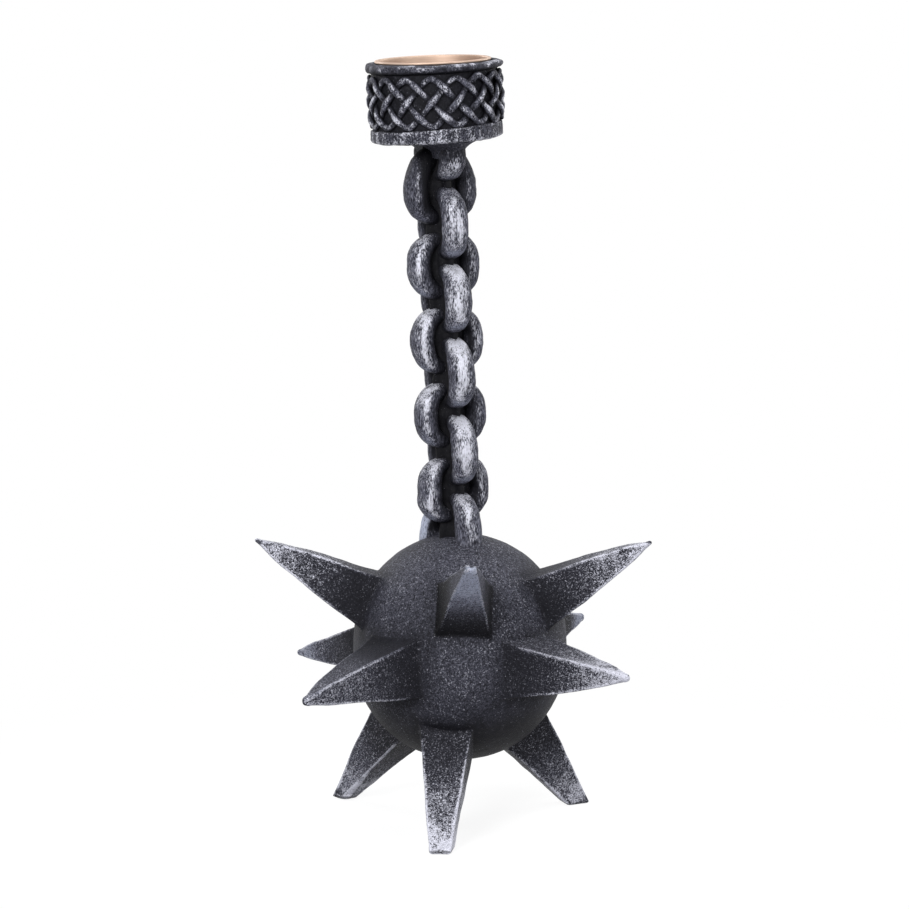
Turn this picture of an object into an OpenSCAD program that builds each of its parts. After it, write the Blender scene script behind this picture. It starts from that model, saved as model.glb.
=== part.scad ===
// Candle holder shaped like a spiked flail: a ball that stands on three of its spikes, a stiff
// upright chain for a stem and a drum cup with a plaited band and a lift-out metal insert.
// Azimuths are counted from the front, which faces minus Y, and grow towards plus X.

/* [Ball] */
// Width of the ball
ball_width = 78.2; // [60:0.1:100]
// Height of the short straight belt round the middle of the ball
ball_belt = 5; // [0:0.1:12]
// Gap between the underside of the ball and the floor
floor_gap = 23.1; // [14:0.1:34]

/* [Spikes] */
// How far the tips of the spikes stand out from the ball
spike_height = 46.2; // [34:0.1:60]
// Width of a spike where it leaves the ball
spike_root_width = 19.3; // [14:0.1:22]
// Width of a spike just before its rounded tip
spike_tip_width = 3.2; // [2:0.1:6]
// Length of the rounded end of a spike
spike_tip_length = 1.5; // [0.8:0.1:3]
// Width of the small bevel along the four edges of a spike
spike_bevel = 0.7; // [0.3:0.1:1.5]
// Spread of the fillet round the root of a spike
spike_flare = 1; // [0.4:0.1:2]
// Width of the blunt end that a foot stands on
foot_end_width = 7.4; // [5:0.1:10]
// Diameter of the peg that holds a spike in the ball
peg_diameter = 7; // [4:0.1:9]
// Length of the peg
peg_length = 9; // [5:0.1:12]
// Gap round a peg and under its end
peg_clearance = 0.05; // [0.02:0.01:0.3]

/* [Chain] */
// How far the stem leans to the left, in degrees
stem_lean = 2.5; // [0:0.1:4]
// How much further the cup leans, in degrees
cup_lean = 0.8; // [0:0.1:2]
// Turn of the wide links about the stem, in degrees
chain_turn = 27; // [0:1:90]
// Width of the opening in a link
opening_width = 11.5; // [9:0.1:14]
// Gap at each side between a link's end and the opening that it passes through
opening_side_gap = 0.8; // [0.3:0.1:1.5]
// Thickness of a link's side bars, across the opening
bar_thickness = 8.5; // [6:0.1:10.5]
// Thickness of a link's two ends on the stem line
end_thickness = 5.7; // [4.5:0.1:7]
// Gap between the two ends that meet in one opening
end_gap = 2.1; // [0.5:0.1:6]
// Gap between an end and the link that it hangs on
link_clearance = 0.15; // [0.1:0.01:0.4]
// Rise of the centre of the staple above the top of the ball
ball_staple_rise = 3.5; // [2:0.1:6]
// Straight length of the cup staple's legs above its centre
cup_staple_leg = 0.9; // [0.5:0.1:6]
// Wall left in a link's end beside the core that the links are strung on
core_wall = 0.9; // [0.6:0.1:2.5]
// Depth of the core in the ball
core_depth = 14; // [8:0.5:20]
// Gap round the core in its bores
core_clearance = 0.05; // [0.02:0.01:0.1]

/* [Cup] */
// Thickness of the drum's wall round the insert
drum_wall = 1.85; // [1.2:0.05:4]
// Height of the drum, from its underside to the rim moulding
drum_height = 25.4; // [22:0.1:34]
// Depth of the core in the cup's floor
cup_core_depth = 4.5; // [3:0.1:6]
// How far the rim moulding stands out from the drum
rim_step = 2.35; // [1:0.05:5]
// Height of the rim moulding
rim_height = 3.2; // [2:0.1:5]
// How far the plain band round the foot of the drum stands out from it
base_band_step = 1.45; // [0.6:0.05:4]
// Height of the plain band
base_band_height = 5; // [3:0.1:7]
// Radius of the plain band's lower edge
base_band_radius = 0.9; // [0.3:0.1:1.4]
// Height of the flared neck under the cup
neck_height = 3.2; // [2:0.1:6]
// Radius of the neck's flare
neck_flare = 2.4; // [1:0.1:3]
// Step from the staple's legs out to the neck
neck_ledge = 0.3; // [0.1:0.1:1]

/* [Plait] */
// Number of full waves that each of the four strands makes round the drum
plait_waves = 4; // [3:1:6]
// Width of a strand
strand_width = 2.3; // [1.4:0.1:3]
// Thickness of a strand
strand_thickness = 0.95; // [0.6:0.05:1.2]
// Turn of the plait about the cup, in degrees
plait_turn = -3; // [-45:1:45]
// Gap between crossing strands, and between the strands and the drum
plait_clearance = 0.06; // [0.03:0.01:0.15]
// Gap between the turns of the strands and the mouldings above and below
plait_margin = 0.35; // [0.1:0.05:1]
// Sharpness of the turns, from 0 for a sine wave to 1 for a zigzag
plait_sharpness = 0.93; // [0.5:0.01:0.98]

/* [Insert] */
// Inside diameter of the insert, for a tealight
insert_bore = 39.4; // [38.8:0.1:40]
// Thickness of the insert's sheet metal
insert_wall = 0.55; // [0.4:0.05:0.8]
// Gap between the insert and the bore in the cup, all round
insert_clearance = 0.3; // [0.1:0.05:0.6]
// How far the insert's flange lies over the rim
flange_lap = 0.45; // [0.3:0.05:1.5]
// Thickness of the flange's rolled edge
flange_thickness = 0.9; // [0.6:0.1:1.5]
// Depth of the insert, from the top of its flange to its underside
insert_depth = 17.5; // [14:0.1:22]
// Gap between the underside of the insert and the cup's floor
insert_floor_gap = 0.3; // [0.2:0.1:1]

/* [Hidden] */

$fn = 96;
overrun = 1;
iron = [0.16, 0.16, 0.19];
silvered_iron = [0.5, 0.5, 0.56];
brass = [0.86, 0.7, 0.42];

ball_radius = ball_width / 2;
ball_height = ball_width + ball_belt;
ball_centre_height = floor_gap + ball_height / 2;
spike_reach = ball_radius + spike_height;
peg_radius = peg_diameter / 2;

// The aim of each spike, in degrees: azimuth and elevation of its tip and of its root, both seen
// from the ball's centre, and its twist. Its root and end widths follow as shares of the usual.
TIP_AZIMUTH = 0;
TIP_ELEVATION = 1;
ROOT_AZIMUTH = 2;
ROOT_ELEVATION = 3;
TWIST = 4;
ROOT_WIDTH_SHARE = 5;
END_WIDTH_SHARE = 6;
upper_left = [-83.7, 28.6, -83.7, 28.6, 2.4, 1, 0.6];
upper_right = [69.1, 30.3, 69.1, 31.2, 4.7, 0.98, 0.7];
upper_front = [3, 30.2, 2.8, 30.9, -3.6, 0.97, 1.6];
upper_back = [188.5, 30, 188.5, 30, 0, 1, 1];
middle_front_left = [-40.3, -4.4, -38, -2.8, 3.1, 1.06, 1];
middle_front_right = [44.4, 0.4, 40, -2, 2.3, 1.02, 1];
middle_back_left = [-133, -9.6, -133.3, -7.5, 0, 0.97, 0.9];
middle_back_right = [146.6, -2.2, 145.4, -3.5, 0, 0.98, 1];
front_foot = [-7.7, -51.8, -10.5, -50.8, -1.6, 0.94, 1.12];
back_left_foot = [-125, -50, -124.6, -50.6, 9, 0.93, 0.95];
back_right_foot = [118.6, -52.3, 119.2, -53.2, 5.5, 1, 0.95];

// Stations along a spike's root fillet, as shares of the fillet's spread
flare_shares = [-1.2, -0.5, 0.3, 1.2];
root_sink_share = 2.1;
tip_round_shares = [0, 0.6, 1];
tip_width_shares = [1, 0.82, 0.45];
// Width below the floor of the cut-off end of a foot, as a share of its width at the floor
foot_taper_share = 0.85;

function direction(azimuth, elevation) =
    [sin(azimuth) * cos(elevation), -cos(azimuth) * cos(elevation), sin(elevation)];
function tip_reach(aim) = aim[TIP_ELEVATION] < -45
    ? ball_centre_height / sin(-aim[TIP_ELEVATION])
    : spike_reach;
function tip_point(aim) = tip_reach(aim) * direction(aim[TIP_AZIMUTH], aim[TIP_ELEVATION]);
function ball_surface(elevation) =
    ball_belt / 2 * abs(sin(elevation))
    + sqrt(pow(ball_radius, 2) - pow(ball_belt / 2 * cos(elevation), 2));
function root_point(aim) =
    ball_surface(aim[ROOT_ELEVATION]) * direction(aim[ROOT_AZIMUTH], aim[ROOT_ELEVATION]);
function spike_line(aim) = tip_point(aim) - root_point(aim);

// The origin is on the floor under the middle of the space that the spikes take up
outer_tips = [for (aim = [upper_left, upper_right, upper_front, upper_back]) tip_point(aim)];
ball_x = -(outer_tips[0].x + outer_tips[1].x) / 2;
ball_y = -(outer_tips[2].y + outer_tips[3].y) / 2;
ball_centre = [ball_x, ball_y, ball_centre_height];

// A link's opening holds the ends of the two links beside it
opening_height = 2 * end_thickness + end_gap + 2 * link_clearance;
link_height = opening_height + 2 * end_thickness;
link_width = opening_width + 2 * bar_thickness;
bar_breadth = opening_width - 2 * opening_side_gap;
bar_offset = (opening_width + bar_thickness) / 2;

// Heights along the stem, from the ball's centre
link_pitch = opening_height - link_clearance;
link_count = 9;
staple_centre = ball_height / 2 + ball_staple_rise;
cup_staple_centre = staple_centre + (link_count + 1) * link_pitch;
stem_top = cup_staple_centre + cup_staple_leg;
core_radius = bar_breadth / 2 - core_wall - core_clearance;
core_bottom = ball_height / 2 - core_depth;
core_top = stem_top + neck_height + cup_core_depth;

// Heights of the cup's parts, from the underside of the neck
band_top = neck_height + base_band_height;
rim_bottom = neck_height + drum_height;
rim_top = rim_bottom + rim_height;
insert_top = rim_top + flange_thickness;
insert_bottom = insert_top - insert_depth;
cup_floor = insert_bottom - insert_floor_gap;

// A link's outer and inner outlines are superellipses, the inner one the squarer
outer_exponent = 2.7;
inner_exponent = 3;
link_steps = 28;
link_sides = 12;

insert_inner = insert_bore / 2;
insert_outer = insert_inner + insert_wall;
bore_radius = insert_outer + insert_clearance;
flange_radius = bore_radius + flange_lap;
drum_radius = bore_radius + drum_wall;
rim_radius = drum_radius + rim_step;
base_band_outer = drum_radius + base_band_step;
strand_level = drum_radius + plait_clearance + strand_thickness + plait_clearance / 2;
strand_lift = (strand_thickness + plait_clearance) / 2;
plait_middle = (band_top + rim_bottom) / 2;
plait_reach = (rim_bottom - band_top - strand_width) / 2 - plait_margin;
strand_count = 4;
steps_per_wave = 16;
strand_steps = steps_per_wave * plait_waves;
strand_sides = 6;
// Degrees of a strand's wave from one crossing to the next
crossing_step = 180 / strand_count;

function superellipse(half_width, half_height, exponent, angle) =
    1 / pow(
        pow(abs(cos(angle)) / half_width, exponent) + pow(abs(sin(angle)) / half_height, exponent),
        1 / exponent
    );
function ring_point(centre, across, outward, angle) =
    centre + across * cos(angle) + outward * sin(angle);

// Skins a list of rings that all have the same number of points, as a bar or as a closed loop
module skin(rings, looped = false) {
    count = len(rings[0]);
    last = len(rings) - 1;
    sides = [
        for (i = [0 : looped ? last : last - 1]) for (j = [0 : count - 1])
            let (
                here = i * count,
                next = ((i + 1) % len(rings)) * count,
                k = (j + 1) % count
            )
            each [[here + j, next + j, next + k], [here + j, next + k, here + k]]
    ];
    caps = looped ? [] : [
        for (j = [1 : count - 2])
            each [[0, j, j + 1], [last * count, last * count + j + 1, last * count + j]]
    ];
    polyhedron([for (ring = rings) each ring], concat(sides, caps));
}

module in_ball_frame() {
    translate(ball_centre) children();
}

module in_stem_frame() {
    translate(ball_centre) rotate([0, -stem_lean, 0]) children();
}

module in_cup_frame() {
    in_stem_frame() translate([0, 0, stem_top]) rotate([0, -cup_lean, 0]) children();
}

// Puts what follows on a spike's axis, with Z from the root to the tip
module on_spike_axis(aim) {
    line = spike_line(aim);
    azimuth = atan2(line.x, -line.y);
    elevation = asin(line.z / norm(line));
    translate(root_point(aim)) rotate([90 - elevation, 0, azimuth]) rotate([0, 0, aim[TWIST]])
        children();
}

module core_hole(bottom, height) {
    in_stem_frame() translate([0, 0, bottom])
        cylinder(h = height, r = core_radius + core_clearance);
}

module ball_form() {
    for (side = [-1, 1]) translate([0, 0, side * ball_belt / 2]) sphere(ball_radius);
    translate([0, 0, -ball_belt / 2]) cylinder(h = ball_belt, r = ball_radius);
}

function bevelled_square(width, z) =
    let (h = width / 2, b = min(spike_bevel, width / 4))
    [
        [h, b - h, z], [h, h - b, z], [h - b, h, z], [b - h, h, z],
        [-h, h - b, z], [-h, b - h, z], [b - h, -h, z], [h - b, -h, z]
    ];

// The square taper of a spike, from inside the ball to its rounded end
module spike_taper(length, root_width, end_width, end_length) {
    straight = length - end_length;
    slope = (end_width - root_width) / straight;
    roots = [for (share = flare_shares) share * spike_flare];
    span = roots[len(roots) - 1] - roots[0];
    rings = [
        bevelled_square(root_width + 2 * spike_flare, -root_sink_share * spike_flare),
        for (z = roots)
            let (left = (roots[len(roots) - 1] - z) / span)
            bevelled_square(root_width + slope * z + 2 * spike_flare * pow(left, 2), z),
        for (i = [0 : len(tip_round_shares) - 1])
            bevelled_square(
                end_width * tip_width_shares[i],
                straight + end_length * tip_round_shares[i]
            )
    ];
    skin(rings);
}

// A peg starts inside its spike, as far above the spike's root as it is wide
module spike_peg(aim) {
    on_spike_axis(aim) translate([0, 0, -peg_length])
        cylinder(h = peg_length + peg_diameter, r = peg_radius);
}

module spike(aim) {
    color(silvered_iron) in_ball_frame() {
        difference() {
            on_spike_axis(aim) spike_taper(
                norm(spike_line(aim)),
                spike_root_width * aim[ROOT_WIDTH_SHARE],
                spike_tip_width * aim[END_WIDTH_SHARE],
                spike_tip_length
            );
            ball_form();
        }
        spike_peg(aim);
    }
}

// A foot is a spike with a blunt end that is cut level with the floor
module foot(aim) {
    end_width = foot_end_width * aim[END_WIDTH_SHARE];
    floor_size = 2 * spike_reach;
    color(silvered_iron) in_ball_frame() {
        difference() {
            on_spike_axis(aim) spike_taper(
                norm(spike_line(aim)) + end_width,
                spike_root_width * aim[ROOT_WIDTH_SHARE],
                end_width * foot_taper_share,
                spike_tip_length
            );
            ball_form();
            translate([-floor_size, -floor_size, -ball_centre_height - floor_size])
                cube([2 * floor_size, 2 * floor_size, floor_size]);
        }
        spike_peg(aim);
    }
}

module ball() {
    color(iron) difference() {
        in_ball_frame() difference() {
            ball_form();
            for (aim = [
                upper_left, upper_right, upper_front, upper_back,
                middle_front_left, middle_front_right, middle_back_left, middle_back_right,
                front_foot, back_left_foot, back_right_foot
            ])
                on_spike_axis(aim) translate([0, 0, -peg_length - peg_clearance])
                    cylinder(h = peg_length + ball_radius, r = peg_radius + peg_clearance);
        }
        core_hole(core_bottom - core_clearance, ball_height);
    }
}

function link_ring(angle, rise = 0) =
    let (
        outer = superellipse(link_width / 2, link_height / 2, outer_exponent, angle),
        inner = superellipse(opening_width / 2, opening_height / 2, inner_exponent, angle),
        aim = [cos(angle), 0, sin(angle)],
        centre = aim * (outer + inner) / 2 + [0, 0, rise],
        outward = aim * (outer - inner) / 2,
        across = [0, bar_breadth / 2, 0]
    )
    [
        for (i = [0 : link_sides - 1])
            ring_point(centre, outward, across, 360 * i / link_sides)
    ];

// Every other unit of the chain is turned by a right angle, the first one being the ball's staple
module in_unit_frame(place) {
    in_stem_frame() translate([0, 0, staple_centre + place * link_pitch])
        rotate([0, 0, chain_turn - (place % 2 == 0 ? 90 : 0)]) children();
}

module link(place) {
    rings = [for (i = [0 : link_steps - 1]) link_ring(360 * i / link_steps)];
    color(silvered_iron) difference() {
        in_unit_frame(place) skin(rings, looped = true);
        core_hole(0, core_top);
    }
}

// Half a link whose two straight legs run up or down from its middle
module staple(first_angle, leg) {
    half_steps = link_steps / 2;
    skin([
        link_ring(first_angle, leg),
        for (i = [0 : half_steps]) link_ring(first_angle + 180 * i / half_steps),
        link_ring(first_angle + 180, leg)
    ]);
}

module ball_staple() {
    color(silvered_iron) difference() {
        in_unit_frame(0) staple(0, -ball_staple_rise - bar_thickness);
        in_ball_frame() ball_form();
        core_hole(0, core_top);
    }
}

// The cup staple's legs end on the underside of the neck, which leans with the cup
module cup_staple() {
    color(silvered_iron) difference() {
        in_unit_frame(link_count + 1) staple(180, cup_staple_leg + neck_height);
        in_cup_frame() translate([-link_width, -link_width, 0])
            cube([2 * link_width, 2 * link_width, link_height]);
        core_hole(0, core_top);
    }
}

module stem_core() {
    color(iron) in_stem_frame() translate([0, 0, core_bottom])
        cylinder(h = core_top - core_bottom, r = core_radius);
}

// Half of the neck's section: straight at its foot, then a quarter hollow out to the cup
module neck_profile(foot_half) {
    difference() {
        square([foot_half + neck_flare, neck_height]);
        translate([foot_half + neck_flare, neck_height - neck_flare]) circle(neck_flare);
        translate([foot_half, -overrun])
            square([neck_flare + overrun, neck_height - neck_flare + overrun]);
    }
}

module cup_neck() {
    foot_half = bar_breadth / 2 + neck_ledge;
    half_length = bar_offset + bar_thickness / 2 - bar_breadth / 2;
    color(iron) difference() {
        in_cup_frame() rotate([0, 0, chain_turn - 90]) {
            for (side = [-1, 1]) translate([side * half_length, 0, 0])
                rotate_extrude() neck_profile(foot_half);
            for (side = [0, 180]) rotate([90, 0, 90 + side])
                translate([0, 0, -half_length]) linear_extrude(2 * half_length)
                    neck_profile(foot_half);
        }
        core_hole(0, core_top + overrun);
    }
}

module cup_drum() {
    color(iron) difference() {
        in_cup_frame() difference() {
            translate([0, 0, neck_height]) cylinder(h = drum_height, r = drum_radius);
            translate([0, 0, cup_floor])
                cylinder(h = rim_bottom - cup_floor + overrun, r = bore_radius);
        }
        core_hole(0, core_top + core_clearance);
    }
}

module base_band() {
    color(silvered_iron) in_cup_frame() translate([0, 0, neck_height])
        rotate_extrude() difference() {
            union() {
                square([base_band_outer - base_band_radius, base_band_height]);
                translate([0, base_band_radius])
                    square([base_band_outer, base_band_height - base_band_radius]);
                translate([base_band_outer - base_band_radius, base_band_radius]) circle(base_band_radius);
            }
            translate([0, -overrun]) square([drum_radius, base_band_height + 2 * overrun]);
        }
}

module rim_moulding() {
    bead = rim_height / 2;
    color(silvered_iron) in_cup_frame() translate([0, 0, rim_bottom]) rotate_extrude() {
        translate([bore_radius, 0]) square([rim_radius - bore_radius - bead, rim_height]);
        translate([rim_radius - bead, bead]) circle(bead);
    }
}

// Height of a strand's centre line, from -1 to 1, along its wave
function plait_wave(wave) = asin(plait_sharpness * cos(wave)) / asin(plait_sharpness);
// Over and under, from 1 to -1: a strand passes the others over, under, over on its way down
// and under, over, under on its way up, and runs level at its turns
function weave(wave) =
    let (from_middle = (wave % 180) - 90)
    abs(from_middle) > 90 - crossing_step / 2
        ? 0
        : -cos(180 * from_middle / crossing_step) * sign(sin(wave));
function strand_point(strand, turn) =
    let (
        wave = plait_waves * turn + 360 * strand / strand_count,
        radius = strand_level + strand_lift * weave(wave)
    )
    [radius * cos(turn), radius * sin(turn), plait_reach * plait_wave(wave)];
function strand_ring(strand, turn) =
    let (
        step = 180 / strand_steps,
        run = strand_point(strand, turn + step) - strand_point(strand, turn - step),
        outward = [cos(turn), sin(turn), 0],
        sideways = cross(outward, run),
        across = sideways / norm(sideways)
    )
    [
        for (i = [0 : strand_sides - 1])
            ring_point(
                strand_point(strand, turn),
                outward * strand_thickness / 2,
                across * strand_width / 2,
                360 * (i + 0.5) / strand_sides
            )
    ];

module plait_band() {
    color(silvered_iron) in_cup_frame() translate([0, 0, plait_middle]) rotate([0, 0, plait_turn])
        for (strand = [0 : strand_count - 1])
            skin(
                [for (i = [0 : strand_steps - 1]) strand_ring(strand, 360 * i / strand_steps)],
                looped = true
            );
}

module candle_insert() {
    roll = flange_thickness / 2;
    color(brass) in_cup_frame() translate([0, 0, insert_bottom]) rotate_extrude() {
        square([insert_outer, insert_wall]);
        translate([insert_inner, 0]) square([insert_wall, insert_depth]);
        translate([insert_inner, insert_depth - flange_thickness])
            square([flange_radius - roll - insert_inner, flange_thickness]);
        translate([flange_radius - roll, insert_depth - roll]) circle(roll);
    }
}

ball();
spike(upper_left);  // spike_upper_left
spike(upper_right);  // spike_upper_right
spike(upper_front);  // spike_upper_front
spike(upper_back);  // spike_upper_back
spike(middle_front_left);  // spike_middle_front_left
spike(middle_front_right);  // spike_middle_front_right
spike(middle_back_left);  // spike_middle_back_left
spike(middle_back_right);  // spike_middle_back_right
foot(front_foot);  // foot_front
foot(back_left_foot);  // foot_back_left
foot(back_right_foot);  // foot_back_right
ball_staple();
link(1);  // link_1
link(2);  // link_2
link(3);  // link_3
link(4);  // link_4
link(5);  // link_5
link(6);  // link_6
link(7);  // link_7
link(8);  // link_8
link(9);  // link_9
cup_staple();
stem_core();
cup_neck();
cup_drum();
base_band();
plait_band();
rim_moulding();
candle_insert();
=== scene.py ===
"""Looks of the spiked-ball candle holder: detailed pieces in the CAD frame, materials, light and camera."""
import math
from dataclasses import dataclass
from functools import partial

import bpy
import numpy as np
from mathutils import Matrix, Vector


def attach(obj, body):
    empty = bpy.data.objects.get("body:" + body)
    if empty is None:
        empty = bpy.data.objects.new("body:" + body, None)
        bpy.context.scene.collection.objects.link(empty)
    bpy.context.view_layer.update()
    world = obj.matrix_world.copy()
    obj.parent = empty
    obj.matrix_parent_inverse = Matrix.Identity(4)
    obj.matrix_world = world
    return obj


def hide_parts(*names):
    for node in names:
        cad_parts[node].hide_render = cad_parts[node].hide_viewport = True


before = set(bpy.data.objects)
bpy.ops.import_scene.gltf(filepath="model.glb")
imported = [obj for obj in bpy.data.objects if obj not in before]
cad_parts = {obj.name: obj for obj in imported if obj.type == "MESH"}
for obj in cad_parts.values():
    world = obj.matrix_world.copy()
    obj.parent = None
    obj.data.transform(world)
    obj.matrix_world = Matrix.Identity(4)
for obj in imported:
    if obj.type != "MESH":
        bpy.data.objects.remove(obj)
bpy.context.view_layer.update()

MM = 0.001

# Sizes repeated from part.scad, in millimetres and degrees
BALL_RADIUS = 39.1
BALL_BELT = 5.0
BALL_HEIGHT = 83.2
BALL = np.array([2.81886, 0.28053, 64.7])
SPIKE_REACH = 85.3
ROOT_WIDTH = 19.3
TIP_WIDTH = 3.2
FOOT_WIDTH = 7.4
STEM_LEAN = 2.5
CUP_LEAN = 0.8
CHAIN_TURN = 27.0
LINK_HEIGHT = 25.2
LINK_WIDTH = 28.5
BAR_THICKNESS = 8.5
BAR_BREADTH = 9.9
END_THICKNESS = 5.7
LINK_GAP = 0.15
LINK_COUNT = 9
STAPLE_RISE = 3.5
STAPLE_LEG = 0.9
CORE_RADIUS = 4.0
DRUM_RADIUS = 22.4
NECK_HEIGHT = 3.2
DRUM_HEIGHT = 25.4
RIM_RADIUS = 24.75
RIM_HEIGHT = 3.2
BASE_RADIUS = 23.85
BASE_HEIGHT = 5.0
CUP_BORE = 20.55
INSERT_BORE = 19.7
INSERT_WALL = 0.55
INSERT_DEPTH = 17.5
FLANGE = 0.9
FLANGE_RADIUS = 21.0
PLAIT_TURN = -3.0

LINK_PITCH = LINK_HEIGHT - 2 * END_THICKNESS - LINK_GAP
STAPLE_CENTRE = BALL_HEIGHT / 2 + STAPLE_RISE
STEM_TOP = STAPLE_CENTRE + (LINK_COUNT + 1) * LINK_PITCH + STAPLE_LEG
RIM_BOTTOM = NECK_HEIGHT + DRUM_HEIGHT
RIM_TOP = RIM_BOTTOM + RIM_HEIGHT
INSERT_TOP = RIM_TOP + FLANGE
INSERT_BOTTOM = INSERT_TOP - INSERT_DEPTH
FLOOR = -BALL[2]

# Sizes of the visual model alone, in millimetres
FILLET = 0.9
FOOT_EDGE = 1.3
CHAIN_SHIFT = 0.5
NARROW_SHIFT = 0.6
BROAD_SHIFT = 0.1
NECK_REACH = 8.3
NECK_ROUND = 5.1
NECK_SHIFT = 0.7
RIM_SHIFT = 0.45
RIM_SLOPE = -0.022
UNDERSIDE_LIFT = 0.56
PLAIT_MARGIN = 0.35

# How finely each kind of piece is divided
CORNER_STEPS = 6
SIDE_SHARES = (0.018, 0.05, 0.11, 0.20, 0.34, 0.5, 0.66, 0.80, 0.89, 0.95, 0.982)
SPIKE_STEPS = 54
BISECTIONS = 28
BALL_ROWS, BALL_COLS = 210, 300
LINK_STEPS, LINK_SIDES = 132, 40
LEG_STEPS = 16
CORE_ROWS, CORE_COLS = 300, 72
MOULDING_STEPS, DRUM_STEPS, INSERT_STEPS = 480, 320, 256
STRAND_STEPS, STRAND_SIDES = 620, 20


@dataclass
class Spike:
    """Where a spike or foot aims and how wide it is, then its paint and wear, and its painted light and shade.
    """
    tip: tuple  # azimuth and elevation of its end, seen from the ball's centre
    root: tuple  # the same for its root
    twist: float
    root_width: float  # as a share of the usual
    end: tuple  # width and height of the end, as shares of the usual
    silver: float  # at the tip
    dust_and_light: float  # grey dust at the tip; past 1 also a pale veil, which on the front of a spike aimed at the camera is painted bounce light
    reach: float  # how far down from the tip both go, as a share of the length
    wear: float  # how far in its edges are worn, in millimetres
    top_silver: float = 0.0  # more silver on its upward faces than on the others
    swell: float = 0.0  # how far its sides swell out past a straight taper, in millimetres
    raised: float = 0.0  # how far its outer half is lifted, in millimetres
    dark: tuple = (0.4, 0.0, 0.4)  # shade at the root, and where along it this starts and stops fading
    end_on: bool = False  # it aims at the camera: a longer rounded tip, painted bounce light on its front, and painted shade on its left side and on top of its tip
    foot: bool = False
    softness: float = 1.0  # of a foot's end


SPIKES = {
    "spike_upper_left": Spike(
        (-83.7, 28.6), (-83.7, 28.6), 2.4, 1.0, (0.5, 0.5), 0.68, 0.6, 0.90, 0.26,
        top_silver=0.14, swell=0.78, raised=0.35),
    "spike_upper_right": Spike(
        (69.1, 30.3), (69.1, 31.2), 4.7, 0.98, (0.5, 0.5), 0.68, 0.6, 1.0, 0.26, swell=0.72, raised=0.45),
    "spike_upper_front": Spike(
        (3.0, 30.2), (2.8, 30.9), -3.6, 0.97, (1.6, 1.0), 0.14, 4.6, 1.0, 0.20,
        dark=(1.0, 0.08, 0.62), end_on=True),
    "spike_upper_back": Spike((188.5, 30.0), (188.5, 30.0), 0.0, 1.0, (0.9, 0.9), 0.6, 0.6, 0.7, 0.26),
    "spike_middle_front_left": Spike(
        (-40.3, -4.4), (-38.0, -2.8), 3.1, 1.06, (1.1, 1.1), 0.60, 0.8, 0.98, 0.24,
        top_silver=-0.21, swell=0.45, raised=-0.45),
    "spike_middle_front_right": Spike(
        (44.4, 0.4), (40.0, -2.0), 2.3, 1.02, (0.95, 0.95), 0.75, 0.7, 0.78, 0.50,
        top_silver=0.14, swell=0.45, raised=0.25),
    "spike_middle_back_left": Spike(
        (-133.0, -9.6), (-133.3, -7.5), 0.0, 0.97, (0.8, 0.8), 0.34, 2.2, 0.8, 0.26,
        swell=0.25, raised=-0.25),
    "spike_middle_back_right": Spike(
        (146.6, -2.2), (145.4, -3.5), 0.0, 0.98, (1.0, 1.0), 0.34, 3.4, 0.5, 0.26, dark=(1.0, 0.62, 0.80)),
}
FEET = {
    "foot_front": Spike(
        (-7.7, -51.8), (-10.5, -50.8), -1.6, 0.94, (1.12, 1.12), 0.79, 0.6, 1.0, 0.30, foot=True),
    "foot_back_left": Spike(
        (-125.0, -50.0), (-124.6, -50.6), 9.0, 0.93, (0.80, 0.80), 0.56, 1.3, 0.90, 0.20,
        foot=True, softness=2.1),
    "foot_back_right": Spike(
        (118.6, -52.3), (119.2, -53.2), 5.5, 1.0, (0.95, 0.95), 0.52, 0.8, 1.0, 0.30, foot=True),
}


# Small maths
def smooth(edge0, edge1, x):
    t = np.clip((x - edge0) / (edge1 - edge0), 0.0, 1.0)
    return t * t * (3.0 - 2.0 * t)


def hashed(ix, iy, iz, seed):
    h = (ix * 73856093) ^ (iy * 19349663) ^ (iz * 83492791) ^ (seed * 2654435761)
    h &= 0xFFFFFFFF
    h = ((h ^ (h >> 16)) * 0x45D9F3B) & 0xFFFFFFFF
    h = ((h ^ (h >> 16)) * 0x45D9F3B) & 0xFFFFFFFF
    h ^= h >> 16
    return h / 4294967295.0


def noise(points, size, seed, octaves=1):
    """Smooth value noise from -1 to 1, with features about size millimetres across."""
    total, amplitude, weight = np.zeros(len(points)), 1.0, 0.0
    for octave in range(octaves):
        q = points / size * 2.0**octave + 37.7 * (octave + 1)
        cell = np.floor(q).astype(np.int64)
        f = q - cell
        f = f * f * (3.0 - 2.0 * f)
        value = np.zeros(len(points))
        for number in range(8):
            corner = [number & 1, (number >> 1) & 1, (number >> 2) & 1]
            x, y, z = (f[:, k] if corner[k] else 1 - f[:, k] for k in range(3))
            value += x * y * z * hashed(*(cell + corner).T, seed + octave)
        total += amplitude * (2.0 * value - 1.0)
        weight += amplitude
        amplitude *= 0.5
    return total / weight


def unit(v):
    return v / np.linalg.norm(v, axis=-1, keepdims=True)


def blend(first, second, share):
    """Lists of values, mixed one by one."""
    return [a * (1 - share) + b * share for a, b in zip(first, second)]


def clipped(*tone, highest=(1, 1, 1)):
    return [np.clip(values, 0, most) for values, most in zip(tone, highest)]


def direction(azimuth, elevation):
    a, e = math.radians(azimuth), math.radians(elevation)
    return np.array([math.sin(a) * math.cos(e), -math.cos(a) * math.cos(e), math.sin(e)])


def round_angles(count):
    return np.linspace(0, 2 * math.pi, count, endpoint=False)


def polar(radius, angle, height):
    """Points at a radius and an angle in radians round the Z axis."""
    return np.stack(np.broadcast_arrays(radius * np.cos(angle), radius * np.sin(angle), height), -1)


def lean_matrix(angle):
    a = math.radians(angle)
    return np.array([[math.cos(a), 0, -math.sin(a)], [0, 1, 0], [math.sin(a), 0, math.cos(a)]])


STEM = lean_matrix(STEM_LEAN)
CUP = lean_matrix(STEM_LEAN + CUP_LEAN)
CUP_ORIGIN = BALL + STEM @ np.array([0, 0, STEM_TOP])


def from_stem(points):
    return points @ STEM.T + BALL


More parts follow.
